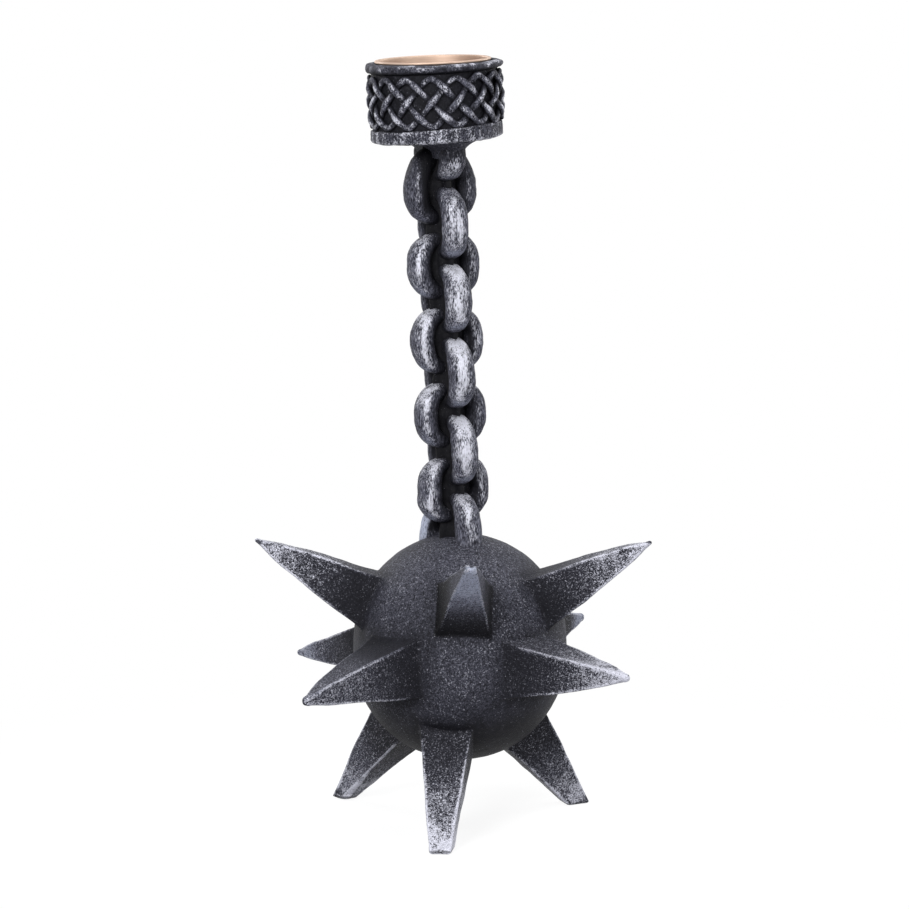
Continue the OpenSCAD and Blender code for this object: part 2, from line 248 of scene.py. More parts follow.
def from_cup(points):
    return points @ CUP.T + CUP_ORIGIN


def turned(points, angle):
    a = math.radians(angle)
    c, s = math.cos(a), math.sin(a)
    return points @ np.array([[c, s, 0], [-s, c, 0], [0, 0, 1]])


def ball_gap(points):
    """Distance of points, counted from the ball's centre, to its surface."""
    z = points[..., 2] - np.clip(points[..., 2], -BALL_BELT / 2, BALL_BELT / 2)
    return np.sqrt(points[..., 0] ** 2 + points[..., 1] ** 2 + z**2) - BALL_RADIUS


# Mesh making
def grid_faces(rows, cols, loop_rows=False, first=0):
    """Four-sided faces between rings of points, numbered from first on."""
    i, j = np.meshgrid(np.arange(rows if loop_rows else rows - 1), np.arange(cols), indexing="ij")
    i2, j2 = (i + 1) % rows, (j + 1) % cols
    quads = np.stack([i * cols + j, i * cols + j2, i2 * cols + j2, i2 * cols + j], -1)
    return (quads.reshape(-1, 4) + first).tolist()


def tube_faces(rows, cols, ends=2):
    """Faces of rings whose last is closed by the point after them, and whose first by the one after that."""
    n = rows * cols
    faces = grid_faces(rows, cols) + [[n, n - cols + j, n - cols + (j + 1) % cols] for j in range(cols)]
    if ends == 2:
        faces += [[n + 1, (j + 1) % cols, j] for j in range(cols)]
    return faces


def add_object(name, data):
    added = bpy.data.objects.new(name, data)
    bpy.context.scene.collection.objects.link(added)
    return added


def make_piece(node, vertices, faces, material, slot, tone, kind="cast", body="holder"):
    """A smooth mesh from millimetre vertices, riding on a body and standing for a CAD node.

    The tone is its brush_and_highlight, dust_and_light and shade: how much silver paint and painted highlight,
    how much grey dust and painted light, and how much painted shade each vertex has.
    """
    name = f"{node}_{kind}"
    mesh = bpy.data.meshes.new(name)
    mesh.from_pydata((vertices * MM).tolist(), [], faces)
    mesh.update()
    for key, values in zip(("brush_and_highlight", "dust_and_light", "shade"), tone):
        layer = mesh.attributes.new(key, "FLOAT", "POINT")
        layer.data.foreach_set("value", np.broadcast_to(values, len(vertices)).astype(np.float32))
    mesh.polygons.foreach_set("use_smooth", [True] * len(mesh.polygons))
    mesh.materials.append(material)
    piece = add_object(name, mesh)
    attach(piece, body)
    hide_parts(node)


def make_grid_piece(node, stand, grid, material, slot, tone, loop_rows=False, **others):
    """A piece from rings of points that a function stands in their place on the stem or in the cup."""
    faces = grid_faces(*grid.shape[:2], loop_rows)
    make_piece(node, stand(grid.reshape(-1, 3)), faces, material, slot, tone, **others)


def grid_normals(grid, loop_rows=False):
    du = np.roll(grid, -1, 0) - np.roll(grid, 1, 0)
    dv = np.roll(grid, -1, 1) - np.roll(grid, 1, 1)
    if not loop_rows:
        du[0], du[-1] = grid[1] - grid[0], grid[-1] - grid[-2]
    n = np.cross(dv, du)
    length = np.linalg.norm(n, axis=-1, keepdims=True)
    return n / np.maximum(length, 1e-9)


def roughen(grid, seed, amounts, loop_rows=False):
    """Moves a grid's points along its normals by noise of each (size, depth), as a casting is uneven."""
    flat = grid.reshape(-1, 3)
    lift = sum(depth * noise(flat, size, seed + k, 2) for k, (size, depth) in enumerate(amounts))
    return grid + grid_normals(grid, loop_rows) * lift.reshape(grid.shape[:2])[..., None]


# Materials
def feed(tree, socket, value):
    """Links a socket to another node's output, or sets it to a constant."""
    if isinstance(value, bpy.types.NodeSocket):
        tree.links.new(value, socket)
    else:
        socket.default_value = value


def add_node(tree, kind, *values, sockets=None, **settings):
    """A new shader node with values for its first sockets, and for others by name or number."""
    node = tree.nodes.new("ShaderNode" + kind)
    for key, value in settings.items():
        setattr(node, key, value)
    for key, value in (*enumerate(values), *(sockets or {}).items()):
        feed(tree, node.inputs[key], value)
    return node


def node_tools(name):
    """Ways to add nodes to a new material, the first of which finishes it."""
    material = bpy.data.materials.new(name)
    material.use_nodes = True
    tree = material.node_tree
    coordinates = add_node(tree, "TexCoord").outputs["Object"]

    def finish(**looks):
        for key, value in looks.items():
            feed(tree, tree.nodes["Principled BSDF"].inputs[key.replace("_", " ")], value)
        return material

    def calc(operation, a, b, clamp=False):
        return add_node(tree, "Math", a, b, operation=operation, use_clamp=clamp).outputs[0]

    def spread(value, low, high, to_low=0.0, to_high=1.0, curve="SMOOTHSTEP"):
        values = (value, low, high, to_low, to_high)
        return add_node(tree, "MapRange", *values, interpolation_type=curve).outputs[0]

    def grain(size, detail, stretch=(1, 1, 1), rough=0.55):
        """Noise whose features are about size millimetres across, from 0 to 1."""
        place = add_node(tree, "Mapping", coordinates, sockets={"Scale": stretch}).outputs[0]
        sockets = {"Scale": 1000.0 / size, "Detail": detail, "Roughness": rough}
        return add_node(tree, "TexNoise", place, sockets=sockets).outputs["Fac"]

    def attribute(key):
        return add_node(tree, "Attribute", attribute_name=key).outputs["Fac"]

    def mix(factor, a, b):
        return add_node(tree, "Mix", factor, sockets={6: a, 7: b}, data_type="RGBA").outputs[2]

    def bump(height, depth, normal=None):
        """A normal that follows a height of up to depth millimetres, on top of another normal."""
        sockets = {"Strength": 1.0, "Distance": depth * MM, "Height": height}
        if normal is not None:
            sockets["Normal"] = normal
        return add_node(tree, "Bump", sockets=sockets).outputs[0]

    return finish, calc, spread, grain, attribute, mix, bump


def cast_resin(name, streak=(1, 1, 1), dark=(0.0045, 0.0045, 0.0072), tint=(0.50, 0.505, 0.575), soft=1.0):
    """Near-black cast resin, with silver, grey dust, pale painted light and darker painted shade where the
    mesh says so.
    """
    finish, calc, spread, grain, attribute, mix, bump = node_tools(name)
    plus, minus, times = (partial(calc, operation) for operation in ("ADD", "SUBTRACT", "MULTIPLY"))
    brush_and_highlight, dust_and_light, shade = attribute("brush_and_highlight"), attribute("dust_and_light"), attribute("shade")
    fine = grain(1.3, 4.0, streak, 0.85)
    salt = grain(0.62, 2.0, streak, 0.6)
    blots = grain(3.4, 3.0, streak, 0.6)
    texture = plus(times(fine, 0.5), times(salt, 0.5))
    texture = plus(times(minus(texture, 0.5), 1.9), 0.5)
    # the brush leaves paint where the grain stands up, and more of it the harder it was pressed; where
    # brush_and_highlight holds a painted highlight, that shows as more silver too
    pressed = plus(brush_and_highlight, times(minus(blots, 0.5), plus(0.12, times(brush_and_highlight, 0.8))))
    edge = spread(pressed, 0.0, 1.0, 0.76, 0.20, "LINEAR")
    mask = spread(texture, minus(edge, 0.06 * soft), plus(edge, 0.16 * soft))
    thickness = plus(times(salt, 0.9), times(pressed, 0.35))
    silver = mix(spread(thickness, 0.40, 0.90, 0.30, 1.0), (0, 0, 0, 1), (*tint, 1))
    # grey from dust_and_light: grey dust, and in places painted light
    grey_layer = times(times(dust_and_light, spread(texture, 0.28, 0.82, 0.04, 2.8)), 0.24, clamp=True)
    under = mix(grey_layer, (*dark, 1), (0.30, 0.305, 0.39, 1))
    # where dust_and_light passes 0.9 the under colour turns pale bluish: thick dust, and in places painted
    # light
    veil = times(spread(dust_and_light, 0.9, 3.2), spread(texture, 0.22, 0.72, 0.20, 1.0))
    under = mix(veil, under, (0.46, 0.50, 0.62, 1))
    # shade is painted shade: it darkens the under colour towards black
    under = mix(times(shade, 0.75), under, (0.002, 0.002, 0.003, 1))
    return finish(
        Base_Color=mix(mask, under, silver),
        Roughness=spread(mask, 0.0, 1.0, 0.60, 0.45),
        Metallic=spread(mask, 0.0, 1.0, 0.0, 0.25),
        Specular_IOR_Level=0.11,
        Normal=bump(mask, 0.04, bump(blots, 0.25, bump(texture, 0.26))),
    )


def brass_sheet():
    """Bright pressed sheet with fine drawing marks round the wall and a warm tarnish."""
    finish, _, spread, grain, _, mix, bump = node_tools("insert_brass")
    marks = grain(1.2, 3.0, (0.12, 0.12, 3.0))
    tarnish = spread(grain(9.0, 3.0), 0.35, 0.7)
    return finish(
        Base_Color=mix(tarnish, (0.48, 0.37, 0.298, 1), (0.425, 0.31, 0.245, 1)),
        Metallic=1.0,
        Roughness=spread(marks, 0.3, 0.75, 0.52, 0.68),
        Normal=bump(marks, 0.015),
    )


# Ball and spikes
def square_section():
    """Points of a square of half width 1, their outward directions, and how far from a corner each is."""
    corners = np.array([(1, 1), (-1, 1), (-1, -1), (1, -1)])
    points, outward, inside = [], [], []
    for quarter in range(4):
        here, there = corners[quarter], corners[(quarter + 1) % 4]
        for k in range(CORNER_STEPS + 1):
            angle = math.pi / 2 * quarter + math.pi / 2 * k / CORNER_STEPS
            points.append(here)
            outward.append((math.cos(angle), math.sin(angle)))
            inside.append(0.0)
        angle = math.pi / 2 * (quarter + 1)
        for share in SIDE_SHARES:
            points.append(here + (there - here) * share)
            outward.append((math.cos(angle), math.sin(angle)))
            inside.append(min(share, 1 - share) * 2)
    return np.array(points), np.array(outward), np.array(inside)


SECTION, OUTWARD, INSIDE = square_section()


def square_ring(widths, radius):
    """A rounded square's points, for a width at each of them."""
    radius = np.minimum(radius, widths * 0.46)
    return SECTION * (widths / 2 - radius)[:, None] + OUTWARD * radius[:, None]


def ring_noise(size, seed, offset):
    """Noise along a section's points, without a seam."""
    return noise(polar(1.0, round_angles(len(SECTION)), 0.3 * seed) * 10.0, size, seed + offset)


def spike_frame(spike):
    """A spike's root, axis, side directions and length, counted from the ball's centre."""
    tip_dir, root_dir = direction(*spike.tip), direction(*spike.root)
    reach = FLOOR / tip_dir[2] if spike.foot else SPIKE_REACH
    e, belt = math.radians(spike.root[1]), BALL_BELT / 2
    root = (belt * abs(math.sin(e)) + math.sqrt(BALL_RADIUS**2 - (belt * math.cos(e)) ** 2)) * root_dir
    run = reach * tip_dir - root
    length = float(np.linalg.norm(run))
    axis = run / length
    azimuth = math.atan2(run[0], -run[1])
    side = np.array([math.cos(azimuth), math.sin(azimuth), 0.0])
    back = np.cross(axis, side)
    c, s = math.cos(math.radians(spike.twist)), math.sin(math.radians(spike.twist))
    return root, axis, c * side + s * back, -s * side + c * back, length


# Size, depth and seed of each noise that makes the ball and the spikes uneven
UNEVENNESS = ((14.0, 0.17, 40), (4.0, 0.09, 50), (1.6, 0.05, 60))


def uneven(points):
    """How far the hand-made surface of ball and spikes stands out at these points."""
    return sum(depth * noise(points, size, seed, 2) for size, depth, seed in UNEVENNESS)


def ball_tone(points):
    """The brush_and_highlight, dust_and_light and shade of the ball's surface, at points counted from its
    centre.
    """
    up = unit(points)
    near = np.zeros(len(points))
    for spike in (*SPIKES.values(), *FEET.values()):
        root, axis, x_axis, y_axis, _ = spike_frame(spike)
        rel = points - root
        out = np.maximum(np.abs(rel @ x_axis), np.abs(rel @ y_axis)) - ROOT_WIDTH * spike.root_width / 2
        near = np.maximum(near, np.where(rel @ axis > -12, 1 - smooth(-1.0, 7.5, out), 0))
    patch = noise(points, 21.0, 77, 2)
    spots = noise(points, 7.0, 79, 2)
    streaks = noise(points * [1, 1, 0.16], 1.5, 88, 2)
    high = smooth(-0.1, 0.75, up[:, 2])
    front = smooth(0.1, 0.9, -up[:, 1])
    low = smooth(0.30, 0.75, -up[:, 2])
    left = smooth(0.45, 0.95, -up[:, 0])
    # the underside and the left side get less dust and silver: painted shade; round the spike roots there is
    # less of both, and painted shade there and underneath
    dust_and_light = 0.28 + 0.22 * high + 0.22 * patch + 0.13 * front - 0.40 * low - 0.06 * left - 0.22 * near
    dust_and_light = dust_and_light + 0.16 * streaks * (0.4 + near)
    brush_and_highlight = 0.12 + 0.04 * high + 0.13 * patch + 0.11 * spots + 0.07 * front
    brush_and_highlight = brush_and_highlight - 0.12 * low - 0.04 * left - 0.07 * near
    return clipped(brush_and_highlight, dust_and_light, 0.25 * near + 0.3 * low, highest=(1, 3, 1))


def level_foot(grid, first_row, softness, seed):
    """Draws a foot's lines of points down to the floor, and gives the rings of its soft edge and its sole."""
    first, last = grid[first_row], grid[-1]
    slope = (last - first) / (last - first)[:, 2:3]
    drop = FLOOR - last[:, 2]
    for k, share in enumerate(np.linspace(0, 1, SPIKE_STEPS + 1)[1:]):
        grid[first_row + 1 + k] += slope * (drop * share)[:, None]
    rim = grid[-1].copy()
    centre = rim.mean(0)
    inward = unit((centre - rim) * [1, 1, 0])
    soft = FOOT_EDGE * softness * (1.0 + 0.25 * ring_noise(5.0, seed, 4))[:, None]
    grid[-1] = rim + slope * soft
    rings = [
        rim + slope * soft * (1 - math.sin(a)) + inward * soft * (1 - math.cos(a))
        for a in np.linspace(0.3, math.pi / 2, 6)
    ]
    flat_ring = rings[-1].copy()
    flat_ring[:, 2] = FLOOR
    for share in (0.75, 0.5, 0.25, 0.08):
        rings.append(centre * [1, 1, 0] + [0, 0, FLOOR] + (flat_ring - centre) * [share, share, 0])
    return rings


def round_tip(end, axis, length):
    """Rings that round off the end of a spike."""
    centre = end.mean(0)
    turns = math.pi / 2 * 0.97 * np.linspace(0, 1, 10)[1:]
    return [centre + (end - centre) * math.cos(a) ** 0.9 + axis * length * math.sin(a) for a in turns]


def spike_grid(spike, seed):
    """A spike's rings of points, counted from the ball's centre, and where on the spike each point is.

    That is its distance from an edge, its share of the way to the tip and its share of the fillet's depth.
    """
    root, axis, x_axis, y_axis, length = spike_frame(spike)
    root_width = ROOT_WIDTH * spike.root_width
    end_width = (FOOT_WIDTH if spike.foot else TIP_WIDTH) * max(spike.end)
    squash = np.array(spike.end) / max(spike.end)
    tip_length = 0.0 if spike.foot else (1.0 if spike.end_on else 0.7) * TIP_WIDTH * min(spike.end)
    straight = length - tip_length
    count = len(SECTION)
    fillet = FILLET * (1.0 + 0.35 * ring_noise(6.0, seed, 3))

    def bent(z, flat):
        """Points of a ring at heights z, with the slight bend and lift of a hand-shaped spike."""
        t = np.clip(z / length, 0, 1)
        arch = np.sin(math.pi * t)
        probe = np.column_stack([t * 26.0, 0 * t + seed, 0 * t])
        bx = arch * (0.55 * noise(probe, 9.0, seed + 5) + 0.15 * noise(probe, 3.5, seed + 6))
        by = arch * (0.55 * noise(probe, 9.0, seed + 7) + 0.15 * noise(probe, 3.5, seed + 8))
        flat = flat * (1 + (squash - 1) * t[:, None])
        sideways = np.outer(flat[:, 0] + bx, x_axis) + np.outer(flat[:, 1] + by, y_axis)
        lifted = np.outer(spike.raised * smooth(0.3, 1.0, t), [0, 0, 1])
        return root + lifted + np.outer(z, axis) + sideways

    def widths_at(z):
        share = z / straight
        swollen = 2 * spike.swell * smooth(0.0, 0.45, share) * (1 - smooth(0.78, 1.0, share))
        return root_width + (end_width - root_width) * np.clip(share, -1, 1.2) + swollen

    rows, edge, along, hollow = [], [], [], []
    # each ring of the fillet: how far out it is, in fillets, and its height above the ball, in fillets too, or
    # its depth under the surface, in millimetres
    stations = [(1.9, -0.30), (1.35, -0.08), (1.0, 0.0)]
    stations += [(1 - math.sin(a), 1 - math.cos(a)) for a in np.linspace(0.18, math.pi / 2, 8)]
    for out, gap in stations:
        # each point is slid along the spike until its gap to the ball is right
        low, high = np.full(count, -9.0), np.full(count, 16.0)
        for _ in range(BISECTIONS):
            z = (low + high) / 2
            widths = widths_at(z)
            ring = bent(z, square_ring(widths, 0.55) + OUTWARD * (fillet * out)[:, None])
            above = ball_gap(ring) > (fillet * gap if out < 1.0 else gap)
            high, low = np.where(above, z, high), np.where(above, low, z)
        rows.append(ring)
        edge.append(INSIDE * widths / 2)
        along.append(np.clip(z / length, 0, 1))
        hollow.append(np.full(count, min(1.0, out)))
    start = z
    for share in np.arange(1, SPIKE_STEPS + 1) / SPIKE_STEPS:
        z = start + (straight - start) * share
        widths = widths_at(z)
        if spike.foot:
            corner = 0.5 + 1.2 * (spike.softness - 1) * smooth(0.35, 1.0, share)
        else:
            corner = 0.5 + 0.8 * smooth(0.86, 1.0, share)
        rows.append(bent(z, square_ring(widths, corner)))
        edge.append(INSIDE * widths / 2)
        along.append(z / length)
        hollow.append(np.zeros(count))
    grid = np.array(rows)
    if spike.foot:
        end_rings = level_foot(grid, len(stations) - 1, spike.softness, seed)
    else:
        end_rings = round_tip(grid[-1], axis, tip_length)
    grid = np.concatenate([grid, np.array(end_rings)])
    edge = np.array(edge + [edge[-1] * (1.0 if spike.foot else 0.5)] * len(end_rings))
    along = np.array(along + [np.ones(count)] * len(end_rings))
    hollow = np.array(hollow + [np.zeros(count)] * len(end_rings))

    # the casting is uneven and its edges are chipped, apart from what stands on the floor
    flat = grid.reshape(-1, 3)
    chips = noise(flat, 1.1, seed + 11, 2).reshape(grid.shape[:2]) * np.exp(-((edge / 0.5) ** 2))
    lift = uneven(flat).reshape(grid.shape[:2]) - 0.07 * np.clip(chips, 0, 1) * (1 - hollow)
    lift = lift * np.clip((grid[..., 2] - FLOOR) / 2.0, 0, 1)
    grid = grid + grid_normals(grid) * lift[..., None]
    grid[..., 2] = np.maximum(grid[..., 2], FLOOR)
    return grid, edge.reshape(-1), along.reshape(-1), hollow.reshape(-1)


def spike_tone(spike, grid, edge, t, hollow, seed):
    """A spike's brush_and_highlight, dust_and_light and shade: silver at its tip and on worn edges, and like
    the ball at its root.
    """
    flat, facing = grid.reshape(-1, 3), grid_normals(grid).reshape(-1, 3)
    up, front = smooth(0.2, 0.8, facing[:, 2]), smooth(0.35, 0.75, -facing[:, 1])
    broken = noise(flat, 2.4, seed + 9, 2)
    swirl = noise(flat, 8.0, seed + 13, 2)
    tip = smooth(1.0 - spike.reach, 1.0, t)
    worn = np.exp(-((edge / spike.wear) ** 2))
    pits = smooth(0.22, 0.55, noise(flat, 2.6, seed + 15, 2)) * smooth(0.55, 0.9, t)
    if spike.foot:
        worn = worn * smooth(0.0, 0.06, t) * 1.2
        base, patchy, bare = 0.24, 0.32, 0.0
    else:
        worn = worn * smooth(0.02, 0.14, t)
        base, patchy = 0.12 + 0.10 * smooth(0.1, 0.5, t), 0.22
        bare = smooth(-0.1, 0.4, noise(flat, 1.8, seed + 21)) * smooth(0.90, 0.97, t)
    brush_and_highlight = base + (spike.silver - base) * tip**1.1 + patchy * swirl * (0.3 + tip)
    brush_and_highlight = brush_and_highlight + worn * (0.40 + 0.30 * broken) * (0.5 + 0.5 * smooth(0.0, 0.5, t)) * (1 - 0.35 * tip)
    brush_and_highlight = brush_and_highlight * (1 - 0.65 * pits) * (1 - 0.75 * bare) + spike.top_silver * up
    dust_and_light = 0.12 + min(spike.dust_and_light, 1.0) * tip + 0.10 * swirl + 1.1 * worn * (0.7 + 0.6 * broken)
    dust_and_light = dust_and_light + (0.16 + spike.top_silver) * up
    # a pale veil where dust_and_light passes 1; on the front of a spike aimed at the camera it is painted
    # bounce light
    veiled = front * (1 - up) if spike.end_on or spike.foot else smooth(0.5, 0.95, t)
    dust_and_light = dust_and_light + max(spike.dust_and_light - 1.0, 0) * tip * veiled * (1 + 0.35 * broken)
    dust_and_light = dust_and_light * (1 - 0.5 * pits) * (1 - 0.6 * bare)
    darkness, fade_start, fade_end = spike.dark
    shade = darkness * (1 - smooth(fade_start, fade_end, t))
    # painted shade on the left side of a spike aimed at the camera and on top of its tip
    if spike.end_on:
        shade = shade + 0.5 * smooth(0.2, 0.7, -facing[:, 0]) + 0.5 * smooth(0.93, 1.0, t) * up
    return clipped(*blend((brush_and_highlight, dust_and_light, shade), ball_tone(flat), smooth(0.0, 1.0, hollow)), highest=(4, 4, 4))


def make_spike(name, spike, material, seed):
    """A square taper with worn edges, blended into the ball by a hollow fillet."""
    grid, edge, along, hollow = spike_grid(spike, seed)
    tone = spike_tone(spike, grid, edge, along, hollow, seed)
    hub = grid[-1].mean(0)
    hub[2] = max(hub[2], FLOOR)
    vertices = np.vstack([grid.reshape(-1, 3), hub]) + BALL
    tone = [np.append(values, values[-1]) for values in tone]
    faces = tube_faces(*grid.shape[:2], ends=1)
    make_piece(name, vertices, faces, material, "dry_brushed_resin", tone)


def make_ball(material):
    theta = np.linspace(0.004, math.pi - 0.004, BALL_ROWS)
    phi = round_angles(BALL_COLS)
    t, p = np.meshgrid(theta, phi, indexing="ij")
    normal = np.stack([np.sin(t) * np.sin(p), np.sin(t) * np.cos(p), np.cos(t)], -1)
    grid = normal * BALL_RADIUS
    grid[..., 2] += np.clip(np.cos(t) / 0.12, -1, 1) * BALL_BELT / 2
    grid = grid + normal * uneven(grid.reshape(-1, 3)).reshape(BALL_ROWS, BALL_COLS)[..., None]
    flat = grid.reshape(-1, 3)
    poles = [[0, 0, -BALL_HEIGHT / 2], [0, 0, BALL_HEIGHT / 2]]
    # the bottom pole has painted shade, like the underside
    pole_tones = ([0, 0.1], [0, 0.3], [0.5, 0.2])
    tone = [np.append(values, ends) for values, ends in zip(ball_tone(flat), pole_tones)]
    faces = tube_faces(BALL_ROWS, BALL_COLS)
    make_piece("ball", np.vstack([flat, poles]) + BALL, faces, material, "dark_resin", tone)


# Chain
def superellipse(half_width, half_height, exponent, angle):
    c, s = np.abs(np.cos(angle)), np.abs(np.sin(angle))
    return ((c / half_width) ** exponent + (s / half_height) ** exponent) ** (-1 / exponent)


def link_rings(angles):
    """Rings of a link's bar at these angles round the link, which has X across and Z along the stem."""
    outer = superellipse(LINK_WIDTH / 2 * 0.975, LINK_HEIGHT / 2, 2.4, angles)
    inner = superellipse(LINK_WIDTH / 2 - BAR_THICKNESS, LINK_HEIGHT / 2 - END_THICKNESS, 2.6, angles)
    aim = np.stack([np.cos(angles), 0 * angles, np.sin(angles)], -1)
    centre = aim * ((outer + inner) / 2)[:, None]
    turn = round_angles(LINK_SIDES)
    squared = superellipse(1, 1, 2.3, turn)
    c, s = np.cos(turn) * squared, np.sin(turn) * squared
    grid = centre[:, None] + aim[:, None] * ((outer - inner) / 2)[:, None, None] * c[None, :, None]
    # a bar is broadest half way up and narrows towards the link's ends
    breadth = BAR_BREADTH / 2 * (0.98 - 0.30 * np.abs(np.sin(angles)) ** 3)
    grid[..., 1] += breadth[:, None] * s[None, :]
    return grid


def place_unit(grid, place):
    """Stands a link on the stem, where every other one is narrow-on and sits a little to the right."""
    narrow = place % 2 == 0
    turn = CHAIN_TURN - (90 if narrow else 0)
    shift = NARROW_SHIFT if narrow else BROAD_SHIFT
    p = turned(grid.reshape(-1, 3), turn) + [shift, 0, STAPLE_CENTRE + place * LINK_PITCH]
    return p.reshape(grid.shape)


def chain_tone(grid, normals, seed, more, top_highlight):
    """Silver on what faces away from the stem, most of it where a bar faces forward, none in the hollows;
    painted highlights on the tops and in a stripe down the bars, and painted shade in the hollows and under
    the cup.
    """
    flat, n = grid.reshape(-1, 3), normals.reshape(-1, 3)
    across = flat[:, 0] - CHAIN_SHIFT
    radius = np.hypot(across, flat[:, 1])
    away = (n[:, 0] * across + n[:, 1] * flat[:, 1]) / np.maximum(radius, 0.5)
    top, under = smooth(0.1, 0.8, n[:, 2]), smooth(0.25, 0.95, -n[:, 2])
    high = smooth(5.0 - 1.4 * top, 10.5 - 3.2 * top, radius) * smooth(-0.15, 0.70, away + 0.8 * top)
    patch = noise(flat, 8.0, seed + 20, 2)
    streak = noise(flat * [1, 1, 0.16], 1.6, seed + 25, 2)
    # a stripe down the bars where they turn towards the key light at the front left: wear and a painted
    # highlight
    crest = 0.08 + 0.27 * smooth(2.0, 8.0, flat[:, 0])
    wear_and_highlight = np.exp(-(((n[:, 0] - crest) / 0.27) ** 2)) * smooth(0.35, 0.8, np.abs(n[:, 1]))
    wear_and_highlight = wear_and_highlight * smooth(7.0, 10.0, radius) * (1 - 0.6 * top) * (1 - under)
    # top_highlight paints a highlight on the upward faces, as of light from above
    brush_and_highlight = high * (0.34 + more + 0.26 * patch - 0.30 * under + top_highlight * top)
    brush_and_highlight = brush_and_highlight * (0.62 + 0.45 * np.maximum(n[:, 1] ** 2, top))
    brush_and_highlight = brush_and_highlight + 0.28 * streak * (0.25 + high) + wear_and_highlight * (0.50 + 0.2 * more + 0.3 * streak) + 0.03
    # less silver on the right-hand bars, away from the key light: painted shade
    brush_and_highlight = brush_and_highlight * (1 - 0.24 * smooth(6.0, 9.0, flat[:, 0]))
    dust_and_light = 0.10 + high * (0.9 + 1.1 * under) + 0.35 * streak
    # painted shade in the hollows near the stem and on faces that turn inwards
    shade = 1.1 - smooth(3.5, 8.5, radius) - 0.5 * smooth(0.0, 0.8, away)
    # painted shadow of the cup on the links just under it: less silver and dust
    cup_shadow = smooth(STEM_TOP - 15.0, STEM_TOP - 5.0, flat[:, 2])
    brush_and_highlight, dust_and_light = brush_and_highlight * (1 - 0.5 * cup_shadow), dust_and_light * (1 - 0.4 * cup_shadow)
    return clipped(brush_and_highlight, dust_and_light, shade, highest=(0.95, 2.4, 1))


# How much silver each link's bars have more than usual, and how much its top has more than its bars, as a
# painted highlight from light above
LINK_SILVER_AND_HIGHLIGHT = (
    (0.10, 0.20), (0.01, 0.42), (-0.17, 0.66), (0.00, 0.42), (0.05, 0.20),
    (0.03, 0.36), (-0.01, 0.06), (-0.10, 0.06), (-0.26, 0.10),
)
# How far each narrow-on link is lifted, in millimetres, and how far its top is drawn up, as a share
LINK_DRAW = {2: (0.0, 0.166), 4: (0.8, 0.19), 6: (1.4, 0.086), 8: (0.9, 0.154)}
CHAIN_ROUGH = ((8.0, 0.34), (2.4, 0.15), (1.0, 0.07))


def make_link(place, material):
    seed = 100 + 13 * place
    rings = link_rings(round_angles(LINK_STEPS))
    x, y, z = np.moveaxis(rings, -1, 0)
    if place == LINK_COUNT:
        # the top link is drawn up into the neck and leans in towards it
        rise = smooth(0.0, 12.0, z)
        z *= 1 + 0.32 * rise
        x *= 1 - 0.05 * rise
    elif place in LINK_DRAW:
        lift, draw = LINK_DRAW[place]
        y *= 1 + 0.06 * smooth(5.0, 12.0, z)
        z *= 1 + draw * smooth(0.0, 8.0, z)
        z += lift
    if place == 1:
        x *= 1 + 0.07 * smooth(0.0, 6.0, -z) * (x < 0)
    grid = roughen(place_unit(rings, place), seed, CHAIN_ROUGH, loop_rows=True)
    brush_and_highlight, dust_and_light, shade = chain_tone(grid, grid_normals(grid, True), seed, *LINK_SILVER_AND_HIGHLIGHT[place - 1])
    if place == LINK_COUNT:
        # painted shade where the neck hides it and inside its left bar
        painted_shade = smooth(7.0, 11.0, z) * (1 - smooth(6.5, 11.0, np.abs(x)))
        inner = smooth(-10.6, -8.4, x) * (x < 0) * smooth(-10.0, -5.0, z)
        painted_shade = np.maximum(painted_shade, inner).reshape(-1)
        brush_and_highlight, dust_and_light = brush_and_highlight * (1 - painted_shade), 0.65 * dust_and_light * (1 - painted_shade)
        shade = np.maximum(shade, 0.8 * painted_shade)
    tone = (brush_and_highlight, dust_and_light, shade)
    make_grid_piece(f"link_{place}", from_stem, grid, material, "dry_brushed_resin", tone, loop_rows=True)


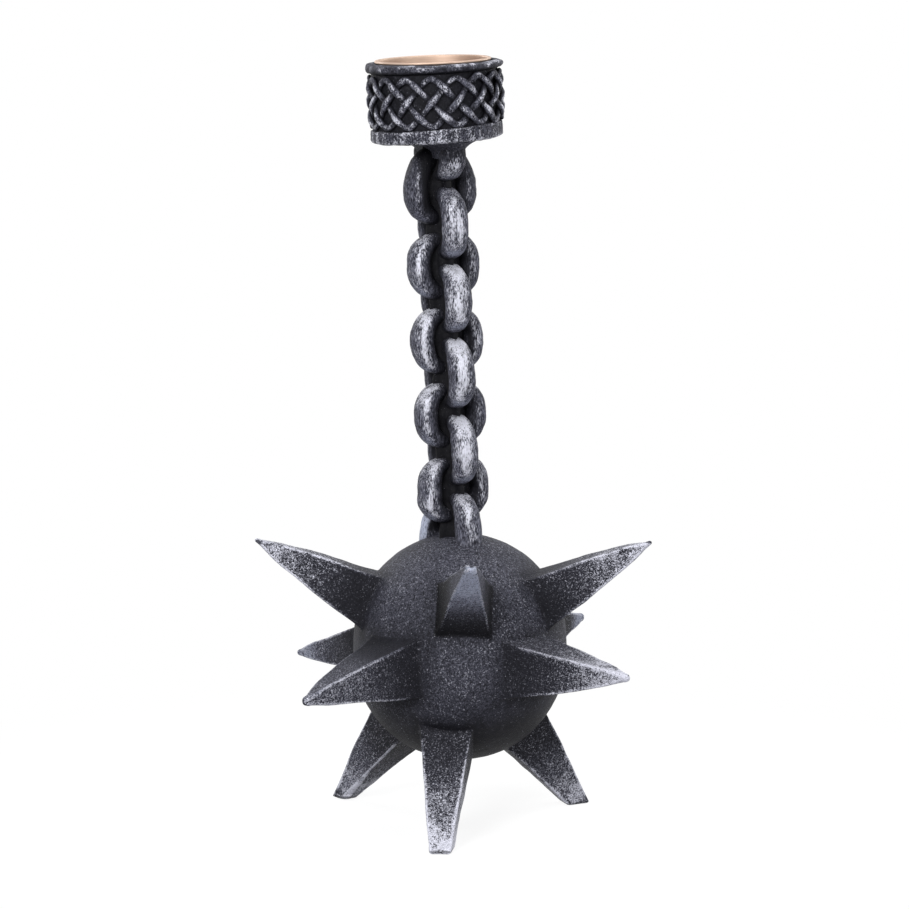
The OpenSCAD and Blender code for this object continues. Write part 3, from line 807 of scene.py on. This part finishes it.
def make_staple(name, place, material):
    """Half a link whose legs run down into the ball, spreading a little, or up into the neck."""
    seed = 300 + place
    on_ball = place == 0
    # where the half link starts, how far its legs reach and lean to the side, its stretch and its silver
    if on_ball:
        start, reach, leans, stretch, more = 0.0, -STAPLE_RISE - 7.0, (0.7, -1.5), 1.06, -0.23
    else:
        start, reach, leans, stretch, more = math.pi, STAPLE_LEG + 0.7 * NECK_HEIGHT, (1.6, 0.1), 0.86, 0.60
    grid = link_rings(np.linspace(start, start + math.pi, LINK_STEPS // 2 + 1))
    shares = np.arange(1, LEG_STEPS + 1) / LEG_STEPS
    first_leg = np.array([grid[0] + [leans[0] * t * t, 0, reach * t] for t in shares[::-1]])
    last_leg = np.array([grid[-1] + [leans[1] * t * t, 0, reach * t] for t in shares])
    grid[..., 2] *= stretch
    grid = place_unit(np.concatenate([first_leg, grid, last_leg]), place)
    from_end = len(grid) - np.arange(len(grid))[:, None]
    if on_ball:
        # the rear leg spreads to the side
        grid[..., 0] -= 4.4 * (1 - smooth(6, 42, from_end))
    grid = roughen(grid, seed, CHAIN_ROUGH)
    normals = grid_normals(grid)
    flat = grid.reshape(-1, 3)
    brush_and_highlight, dust_and_light, shade = chain_tone(grid, normals, seed, more, 0.46)
    if on_ball:
        # the rear leg has painted light where it faces left and painted shade elsewhere, and both legs end
        # like the ball
        rear = (1 - smooth(34, 40, from_end)) * (1 - smooth(0.5, 5.5, grid[..., 2] - STAPLE_CENTRE))
        rear, outside = rear.reshape(-1), smooth(0.10, 0.55, -normals[..., 0]).reshape(-1)
        painted_light = rear * outside
        brush_and_highlight = brush_and_highlight * (1 - rear * (1 - outside))
        shade = np.clip(shade + rear, 0, 1) * (1 - painted_light)
        upright = flat @ STEM.T
        low = 1 - smooth(-0.5, 3.5, ball_gap(upright))
        brush_and_highlight, dust_and_light, shade = blend((brush_and_highlight, dust_and_light + 3.0 * painted_light, shade), ball_tone(upright), low)
        dust_and_light = dust_and_light + 1.5 * painted_light
    else:
        # painted shade where the legs run up under the neck: less silver and dust
        low = smooth(STEM_TOP - 6.0, STEM_TOP - 0.5, flat[:, 2])
        brush_and_highlight, dust_and_light = brush_and_highlight * (1 - 0.75 * low), dust_and_light * (1 - 0.6 * low)
        shade = np.clip(shade + 0.3 * low, 0, 1)
    make_grid_piece(name, from_stem, grid, material, "dry_brushed_resin", (brush_and_highlight, dust_and_light, shade))


def make_core(material):
    """The infill that closes the links' openings: a lumpy black cross that follows both sets of links, in full
    painted shade.
    """
    height = np.linspace(BALL_HEIGHT / 2 - 4, STEM_TOP + NECK_HEIGHT - 0.5, CORE_ROWS)[:, None]
    a = round_angles(CORE_COLS)[None]
    webs = np.abs(np.cos(2 * (a - math.radians(CHAIN_TURN)))) ** 8
    grid = polar(CORE_RADIUS + 0.2 + 2.6 * webs, a, height) + [CHAIN_SHIFT, 0, 0]
    grid = roughen(grid, 500, ((5.0, 0.5), (1.8, 0.25)))
    vertices = from_stem(np.vstack([grid.reshape(-1, 3), grid[-1].mean(0), grid[0].mean(0)]))
    make_piece("stem_core", vertices, tube_faces(CORE_ROWS, CORE_COLS), material, "dark_resin", (0, 0, 1))


# Cup
def lathe(profile, steps, seed, rough, loop=True):
    """A ring or cup from a profile of (radius, height) points, roughened."""
    r, z = np.array(profile).T[..., None]
    a = round_angles(steps)
    return roughen(polar(r, a, z), seed, rough, loop_rows=loop)


def tilt_top(grid, low, high, slope, lift=0.0):
    """Slants what lies above a height: the hand-made mouldings aren't quite parallel."""
    grid[..., 2] += smooth(low, high, grid[..., 2]) * (lift + slope * grid[..., 0])


def lift_underside(grid, low):
    """Draws up the lower edge and the underside of the cup a little."""
    share = 1 - smooth(low + 1.0, low + 4.5, grid[..., 2])
    grid[..., 2] += share * (UNDERSIDE_LIFT + 0.004 * grid[..., 0])


def arc(cx, cy, radius, start, end, steps):
    """Points on part of a circle, between two angles in degrees."""
    angles = [math.radians(start + (end - start) * k / steps) for k in range(steps + 1)]
    return [(cx + radius * math.cos(a), cy + radius * math.sin(a)) for a in angles]


def line(a, b, steps):
    """Points between two others, without those."""
    return [(a[0] + (b[0] - a[0]) * k / steps, a[1] + (b[1] - a[1]) * k / steps) for k in range(1, steps)]


def make_neck(material):
    """The flared neck: its outline grows along a hollow curve from the staple's legs to the drum."""
    flare = [(1.3 * (max(z + 1.6, 0) / 2.8) ** 2.5 - 0.2, z) for z in np.linspace(-2.5, NECK_HEIGHT, 24)]
    profile = [(-1.6, -2.6)] + flare + [(flare[-1][0], NECK_HEIGHT + 1.2)]
    outline, outward = [], []
    for side in (1, -1):
        for a in np.linspace(0, math.pi, 33) - side * math.pi / 2:
            outward.append((math.cos(a), math.sin(a), 0))
            outline.append((side * NECK_REACH + NECK_ROUND * outward[-1][0], NECK_ROUND * outward[-1][1], 0))
        for k in range(1, 16):
            outward.append((0, side, 0))
            outline.append((side * NECK_REACH * (1 - 2 * k / 16), side * NECK_ROUND, 0))
    outline, outward = np.array(outline), np.array(outward)
    grid = np.array([outline + outward * out + [0, 0, z] for out, z in profile])
    grid = turned(grid.reshape(-1, 3), CHAIN_TURN - 90).reshape(grid.shape) + [NECK_SHIFT, 0, 0]
    grid = roughen(grid, 520, ((5.0, 0.25), (1.8, 0.12)))
    edge = smooth(NECK_HEIGHT - 2.4, NECK_HEIGHT, grid[..., 2].reshape(-1))
    tone = (0.08 + 0.08 * edge, 0.50 + 0.30 * edge, 0.2)
    make_grid_piece("cup_neck", from_cup, grid, material, "dark_resin", tone)


def make_drum(material):
    """The drum behind the plait, with its floor under the insert."""
    r, low, high, soft = DRUM_RADIUS, NECK_HEIGHT, RIM_BOTTOM, 0.6
    centre, floor = 0.05, INSERT_BOTTOM - 0.3
    profile = [(centre, low)] + line((centre, low), (r - soft, low), 20)
    profile += arc(r - soft, low + soft, soft, -90, 0, 4) + line((r, low + soft), (r, high), 60)
    profile += [(r, high)] + line((r, high), (CUP_BORE, high), 4)
    profile += [(CUP_BORE, high)] + line((CUP_BORE, high), (CUP_BORE, floor), 20)
    profile += [(CUP_BORE, floor)] + line((CUP_BORE, floor), (centre, floor), 12) + [(centre, floor)]
    grid = lathe(profile, DRUM_STEPS, 540, ((6.0, 0.16), (2.0, 0.14)), loop=False)
    flat = grid.reshape(-1, 3).copy()
    lift_underside(grid, low)
    radius = np.hypot(flat[:, 0], flat[:, 1])
    wall = (radius > r - 1.0) & (flat[:, 2] > low + 1.0)
    under = smooth(13.0, 21.5, radius) * (flat[:, 2] < low + 0.5)
    patch = noise(flat, 4.0, 545, 2)
    # painted shade on the wall behind the plait and, less, elsewhere
    brush_and_highlight = np.where(wall, 0.02, 0.04 + 0.12 * under)
    dust_and_light = np.where(wall, 0.10 + 0.1 * patch, 0.2 + 0.25 * under)
    tone = (brush_and_highlight, dust_and_light, np.where(wall, 0.75, 0.35))
    make_grid_piece("cup_drum", from_cup, grid, material, "dark_resin", tone)


def make_base_band(material):
    """The plain band: slightly waisted, with a worn upper edge and a broad soft lower one."""
    r, z0, z1 = BASE_RADIUS, NECK_HEIGHT, NECK_HEIGHT + BASE_HEIGHT
    inner, lower_in, lower_up, upper = DRUM_RADIUS - 0.3, 2.0, 1.2, 0.4
    profile = line((inner - 3.0, z0 + 0.12), (r - lower_in, z0), 8) + [(r - lower_in, z0)]
    for a in np.linspace(0.12, math.pi / 2, 10):
        profile.append((r - lower_in * (1 - math.sin(a)), z0 + lower_up * (1 - math.cos(a))))
    profile += line((r, z0 + lower_up), (r, z1 - upper), 16) + arc(r - upper, z1 - upper, upper, 0, 90, 5)
    profile += line((r - upper, z1), (inner, z1), 4) + [(inner, z1 - 0.1)]
    profile += line((inner, z1 - 0.1), (inner - 3.0, z0 + 0.5), 6)
    grid = lathe(profile, MOULDING_STEPS, 560, ((7.0, 0.24), (2.0, 0.16), (0.9, 0.09)))
    flat = grid.reshape(-1, 3).copy()
    tilt_top(grid, z0 + 1.0, z1, 0.030, 0.65)
    lift_underside(grid, z0)
    radius, height = np.hypot(flat[:, 0], flat[:, 1]), flat[:, 2]
    lower = 1 - smooth(z0 + 0.3, z0 + 2.0, height)
    upper = smooth(z1 - 0.9, z1 - 0.2, height)
    outer = smooth(r - 2.6, r - 0.4, radius)
    patch = noise(flat, 6.0, 563, 2)
    scratch = noise(flat * [1, 1, 0.3], 1.3, 566, 2)
    brush_and_highlight = outer * (0.32 + 0.36 * patch + 0.52 * scratch + 0.38 * lower + 0.14 * upper)
    tone = clipped(brush_and_highlight, outer * (0.55 + 0.2 * patch), 0.8 - outer)
    make_grid_piece("base_band", from_cup, grid, material, "dry_brushed_resin", tone, loop_rows=True)


def make_rim(material):
    """The rim moulding: a dark flat top, a rounded lip that overhangs, and a hollow under it."""
    r, z0, z1, inner = RIM_RADIUS, RIM_BOTTOM, RIM_TOP, CUP_BORE
    profile = line((inner, z0), (22.2, z0), 4) + [(22.6, z0 - 0.05), (23.0, z0 + 0.1), (23.5, z0 + 0.35)]
    profile += arc(r - 1.5, z0 + 1.65, 1.5, -60, 45, 12)
    profile += [(r - 0.75, z1 - 0.42), (r - 1.3, z1 - 0.18), (r - 1.9, z1 - 0.05)]
    profile += line((r - 1.9, z1), (inner + 0.3, z1), 6)
    profile += [(inner, z1 - 0.3)] + line((inner, z1 - 0.3), (inner, z0), 6)
    grid = lathe(profile, MOULDING_STEPS, 580, ((6.0, 0.30), (2.2, 0.20), (0.9, 0.09)))
    grid[..., 0] += RIM_SHIFT
    grid[..., 2] = np.minimum(grid[..., 2], z1 + 0.02)
    flat = grid.reshape(-1, 3).copy()
    tilt_top(grid, z0, z1, RIM_SLOPE)
    radius, height = np.hypot(flat[:, 0] - RIM_SHIFT, flat[:, 1]), flat[:, 2]
    around = np.arctan2(flat[:, 1], flat[:, 0])
    flat_top = smooth(z1 - 0.7, z1 - 0.2, height)
    outer = smooth(r - 1.7 - 1.9 * flat_top, r - 0.5 - 1.9 * flat_top, radius)
    lip = smooth(z0 + 0.5, z0 + 1.9, height)
    strokes = noise(np.column_stack([around * 24 * 0.45, height * 1.1, 0 * height]), 1.5, 583, 3)
    brush_and_highlight = outer * lip * (0.22 + 1.3 * strokes) + 0.02
    tone = clipped(brush_and_highlight, 0.05 + outer * lip * (0.60 + 1.1 * strokes), 0.9 - smooth(z0, z0 + 1.1, height))
    make_grid_piece("rim_moulding", from_cup, grid, material, "dry_brushed_resin", tone, loop_rows=True)


def make_insert(material):
    """The pressed insert, from its underside up the outside, round the flange and down into the bore."""
    r, wall, z0, z1, centre = INSERT_BORE, INSERT_WALL, INSERT_BOTTOM, INSERT_TOP, 0.05
    outside, flange, hem = r + wall, FLANGE_RADIUS - FLANGE / 2, FLANGE / 2
    bend, inner_bend, mouth = 0.6, 0.8, 0.5
    floor = z0 + wall
    profile = [(centre, floor)] + line((centre, floor), (r - inner_bend, floor), 14)
    profile += arc(r - inner_bend, floor + inner_bend, inner_bend, -90, 0, 5)
    profile += line((r, floor + inner_bend), (r, z1 - mouth), 24)
    profile += arc(r + mouth, z1 - mouth, mouth, 180, 90, 5) + arc(flange, z1 - hem, hem, 90, -90, 8)
    profile += line((flange, z1 - FLANGE), (outside, z1 - FLANGE), 2) + [(outside, z1 - FLANGE)]
    profile += line((outside, z1 - FLANGE), (outside, z0 + bend), 20)
    profile += arc(outside - bend, z0 + bend, bend, 0, -90, 4)
    profile += line((outside - bend, z0), (centre, z0), 12) + [(centre, z0)]
    grid = lathe(profile[::-1], INSERT_STEPS, 660, ((12.0, 0.03),), loop=False)
    tilt_top(grid, z1 - 4.0, z1 - 1.0, RIM_SLOPE)
    make_grid_piece("candle_insert", from_cup, grid, material, "brass", (), kind="sheet", body="insert")


# Plait
def plait_wave(wave):
    """A rounded zigzag from -1 to 1."""
    sharp = 0.93
    return np.arcsin(sharp * np.cos(np.radians(wave))) / math.asin(sharp)


def weave(wave):
    """How far over (1) or under (-1) the others a strand lies: flat where it turns back."""
    from_middle = np.mod(wave, 180) - 90
    lift = -np.cos(np.radians(4 * from_middle)) * np.sign(np.sin(np.radians(wave)))
    return lift * (1 - smooth(62.0, 72.0, np.abs(from_middle)))


def strand_noise(t, size, seed):
    """Noise that comes round to its start, at t degrees round the drum."""
    return noise(polar(23, np.radians(t), 0), size, seed, 2)


def strand_line(strand, t):
    """A strand's middle line and its weave, at t degrees round the drum."""
    wave = 4 * t + 90 * strand
    lift = weave(wave)
    reach = (DRUM_HEIGHT - BASE_HEIGHT - 2.3) / 2 - PLAIT_MARGIN
    r = DRUM_RADIUS + 0.95 + 0.62 * lift + 0.14 * strand_noise(t, 4.0, 600 + strand)
    z = reach * plait_wave(wave) + 0.32 * strand_noise(t, 6.0, 605 + strand)
    a = np.radians(t + 0.7 * strand_noise(t, 7.0, 610 + strand))
    return polar(r, a, z), lift


def make_plait(material):
    """Four strands that weave over and under each other round the drum."""
    middle = (NECK_HEIGHT + BASE_HEIGHT + RIM_BOTTOM) / 2
    turn = np.linspace(0, 360, STRAND_STEPS, endpoint=False)
    angle = round_angles(STRAND_SIDES)
    c, s = np.cos(angle), np.sin(angle)
    vertices, faces, tones = [], [], []
    for strand in range(4):
        p, lift = strand_line(strand, turn)
        run = unit(strand_line(strand, turn + 0.3)[0] - strand_line(strand, turn - 0.3)[0])
        across = unit(np.cross(polar(1, np.radians(turn), 0), run))
        out = unit(np.cross(run, across))
        wide = 1.22 + 0.34 * strand_noise(turn, 2.6, 615 + strand) + 0.12 * lift
        thick = 0.88 + 0.12 * lift
        grid = p[:, None] + out[:, None] * np.outer(thick, c)[..., None]
        grid = grid + across[:, None] * np.outer(wide, s)[..., None]
        grid = roughen(grid, 620 + strand, ((2.2, 0.16), (0.9, 0.10)), loop_rows=True)
        flat = grid.reshape(-1, 3)
        crest, face = (np.tile(smooth(*edges, c), STRAND_STEPS) for edges in ((0.45, 1.0), (-0.2, 0.9)))
        over = np.repeat(smooth(-0.9, 0.7, lift), STRAND_SIDES)
        wear = noise(flat, 3.0, 640 + strand, 2)
        # strands passing over the others get more silver and dust; those passing under, and faces turned away,
        # get painted shade
        brush_and_highlight = crest * (0.10 + 0.48 * over + 0.60 * wear)
        dust_and_light = face * (0.20 + 0.9 * over + 0.4 * wear)
        tones.append((brush_and_highlight, dust_and_light, 0.85 - face * (0.35 + 0.5 * over)))
        faces += grid_faces(STRAND_STEPS, STRAND_SIDES, loop_rows=True, first=strand * len(flat))
        vertices.append(flat)
    flat = turned(np.vstack(vertices), PLAIT_TURN)
    flat[:, 2] = (flat[:, 2] - 0.15) * (0.97 - 0.0008 * flat[:, 0]) + 0.3 + 0.012 * flat[:, 0]
    flat = flat + [0.25, 0, middle]
    tone = clipped(*(np.concatenate(values) for values in zip(*tones)))
    make_piece("plait_band", from_cup(flat), faces, material, "dry_brushed_resin", tone)


# Build
ball_resin = cast_resin("ball_resin", streak=(1.3, 1.3, 1.15))
spike_resin = cast_resin("spike_resin", streak=(1.35, 1.35, 1.35), tint=(0.55, 0.555, 0.63), soft=1.3)
chain_resin = cast_resin("chain_resin", streak=(1.6, 1.6, 0.45), tint=(0.60, 0.605, 0.68), soft=1.5)
cup_resin = cast_resin("cup_resin", streak=(1.4, 1.4, 1.0), tint=(0.56, 0.565, 0.64), soft=1.3)
dark_resin = cast_resin("shaded_resin", dark=(0.006, 0.006, 0.009))
brass = brass_sheet()

make_ball(ball_resin)
for first_seed, group in ((700, SPIKES), (900, FEET)):
    for index, (name, spike) in enumerate(group.items()):
        make_spike(name, spike, spike_resin, first_seed + 17 * index)
make_staple("ball_staple", 0, chain_resin)
for place in range(1, LINK_COUNT + 1):
    make_link(place, chain_resin)
make_staple("cup_staple", LINK_COUNT + 1, chain_resin)
make_core(dark_resin)
make_neck(dark_resin)
make_drum(dark_resin)
make_base_band(cup_resin)
make_plait(cup_resin)
make_rim(cup_resin)
make_insert(brass)


# Stage, light, camera
def seen_rays(tree):
    """1 for the rays that show the background: from the camera, off a gloss or through glass."""
    ray = add_node(tree, "LightPath")
    seen = ray.outputs["Is Camera Ray"]
    for kind in ("Is Glossy Ray", "Is Transmission Ray"):
        seen = add_node(tree, "Math", seen, ray.outputs[kind], operation="MAXIMUM").outputs[0]
    return seen


def empty_tree(owner):
    owner.use_nodes = True
    owner.node_tree.nodes.clear()
    return owner.node_tree


def make_stage():
    bpy.ops.mesh.primitive_plane_add(size=12)
    floor = bpy.context.object
    floor.name = "floor"
    material = bpy.data.materials.new("floor_white")
    tree = empty_tree(material)
    # near the object the floor is a lit surface that takes its shadow; further out it fades to plain white
    diffuse = add_node(tree, "BsdfDiffuse", (0.7, 0.7, 0.7, 1))
    glow = add_node(tree, "Emission", (1, 1, 1, 1), 0.5)
    ground = add_node(tree, "AddShader", diffuse.outputs[0], glow.outputs[0])
    white = add_node(tree, "Emission", (1, 1, 1, 1), 1.0)
    place = add_node(tree, "TexCoord").outputs["Object"]
    far = add_node(tree, "VectorMath", place, operation="LENGTH").outputs["Value"]
    fade = add_node(tree, "MapRange", far, 0.05, 0.24, 0.78, 1.0, interpolation_type="SMOOTHSTEP")
    shown = add_node(tree, "MixShader", fade.outputs[0], ground.outputs[0], white.outputs[0])
    bounce = add_node(tree, "BsdfDiffuse", (0.22, 0.22, 0.24, 1))
    surface = add_node(tree, "MixShader", seen_rays(tree), bounce.outputs[0], shown.outputs[0])
    add_node(tree, "OutputMaterial", surface.outputs[0])
    floor.data.materials.append(material)

    world = bpy.data.worlds.new("studio")
    bpy.context.scene.world = world
    tree = empty_tree(world)
    dim = add_node(tree, "Background", (0.93, 0.95, 1.0, 1), 0.22)
    white = add_node(tree, "Background", (1, 1, 1, 1), 1.0)
    surface = add_node(tree, "MixShader", seen_rays(tree), dim.outputs[0], white.outputs[0])
    add_node(tree, "OutputWorld", surface.outputs[0])


def area_light(name, place, target, size, power):
    data = bpy.data.lights.new(name, "AREA")
    data.shape = "RECTANGLE"
    data.size, data.size_y = size
    data.energy = power
    light = add_object(name, data)
    light.location = place
    light.rotation_mode = "QUATERNION"
    light.rotation_quaternion = (Vector(target) - Vector(place)).to_track_quat("-Z", "Y")


def add_camera():
    """The camera that was fitted to the photo, straight in front of the ball."""
    distance, height, pitch, yaw = 1.541, 0.3828, 80.893, 0.074
    data = bpy.data.cameras.new("camera")
    data.lens, data.sensor_width = 169.70, 36.0
    data.clip_end = 20.0
    camera = add_object("camera", data)
    camera.location = (BALL[0] * MM, BALL[1] * MM - distance, height)
    camera.rotation_euler = (math.radians(pitch), 0.0, math.radians(yaw))
    bpy.context.scene.camera = camera


make_stage()
area_light("key", (-0.55, -1.3, 0.80), (0, 0, 0.14), (0.45, 0.6), 23.3)
area_light("fill", (1.0, -1.0, 0.45), (0, 0, 0.14), (0.4, 0.8), 7.0)
area_light("top", (0.1, 0.1, 1.2), (0, 0, 0.1), (0.6, 0.6), 6.0)
area_light("back_left", (-1.0, 1.1, 0.6), (0, 0, 0.14), (0.6, 0.8), 7.0)
area_light("back_right", (1.2, 0.9, 0.5), (0, 0, 0.14), (0.6, 0.8), 7.0)
add_camera()
bpy.context.scene.view_settings.view_transform = "Standard"
